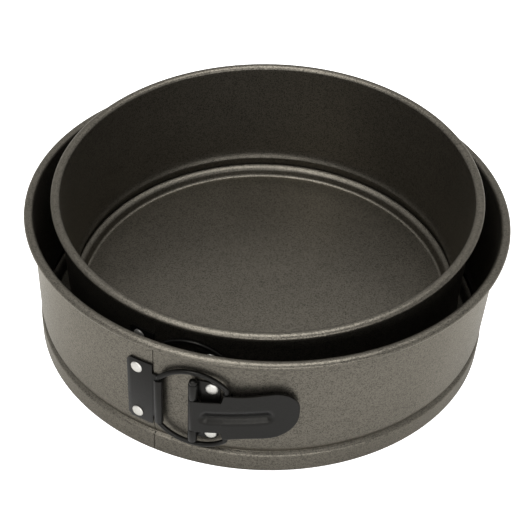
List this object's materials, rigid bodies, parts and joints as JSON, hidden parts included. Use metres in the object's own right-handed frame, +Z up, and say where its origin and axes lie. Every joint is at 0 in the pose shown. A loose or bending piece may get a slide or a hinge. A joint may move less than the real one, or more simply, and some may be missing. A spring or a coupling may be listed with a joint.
{
  "type": "springform pan",
  "caption": "Nested pair of round springform cake pans with rolled rims, loose bases held in a groove, and toggle latches with wire bails.",
  "frame": {"origin": "centre of the large pan, on the plane it stands on", "axes": "+Z up through the open top and along the large pan's axis; -Y is the side the pan is looked at from, with the latch a little to the left of it (azimuth -118 degrees from +X)"},
  "size_m": [0.238, 0.238, 0.0858],
  "materials": {
    "coated_steel": "dark warm grey non-stick coating with a fine metallic sparkle, satin",
    "latch_black": "black coated steel, satin",
    "rivet_metal": "bright plain metal, smooth"
  },
  "bodies": {
    "root": {"outer_base": "coated_steel"},
    "outer_hook_side": {"outer_band_hook_side": "coated_steel", "outer_hook_plate": "latch_black", "outer_hook_rivets": "rivet_metal"},
    "outer_lever_side": {"outer_band_lever_side": "coated_steel", "outer_lever_bracket": "latch_black", "outer_bracket_rivets": "rivet_metal", "outer_hinge_pin": "latch_black"},
    "outer_lever": {"outer_lever": "latch_black"},
    "outer_bail": {"outer_bail": "latch_black"},
    "inner_pan": {"inner_base": "coated_steel", "inner_band": "coated_steel", "inner_hook_plate": "latch_black", "inner_hook_rivets": "rivet_metal", "inner_lever_bracket": "latch_black", "inner_bracket_rivets": "rivet_metal", "inner_hinge_pin": "latch_black", "inner_lever": "latch_black", "inner_bail": "latch_black"}
  },
  "joints": [
    {"name": "outer_hook_side_spread", "type": "hinge", "parent": "root", "child": "outer_hook_side", "pos_m": [0.0561, 0.10506, 0], "axis": [0, 0, -1], "range_deg": [0, 2.6]},
    {"name": "outer_band_open", "type": "hinge", "parent": "outer_hook_side", "child": "outer_lever_side", "pos_m": [0.0561, 0.10506, 0], "axis": [0, 0, 1], "range_deg": [0, 5.21]},
    {"name": "outer_lever_hinge", "type": "hinge", "parent": "outer_lever_side", "child": "outer_lever", "pos_m": [-0.03636, -0.11205, 0.0358], "axis": [0, 0, -1], "range_deg": [0, 140]},
    {"name": "outer_bail_hinge", "type": "hinge", "parent": "outer_hook_side", "child": "outer_bail", "pos_m": [-0.05168, -0.10547, 0.0375], "axis": [0, 0, -1], "range_deg": [0, 26.2]},
    {"name": "inner_pan_lift", "type": "slide", "parent": "root", "child": "inner_pan", "axis": [0, 0, 1], "range_m": [0, 0.09]}
  ],
  "couplings": [
    {"joint": "outer_hook_side_spread", "follows": "outer_lever_hinge", "ratio": 0.018588},
    {"joint": "outer_band_open", "follows": "outer_lever_hinge", "ratio": 0.037176},
    {"joint": "outer_bail_hinge", "follows": "outer_lever_hinge", "ratio": 0.1871}
  ]
}
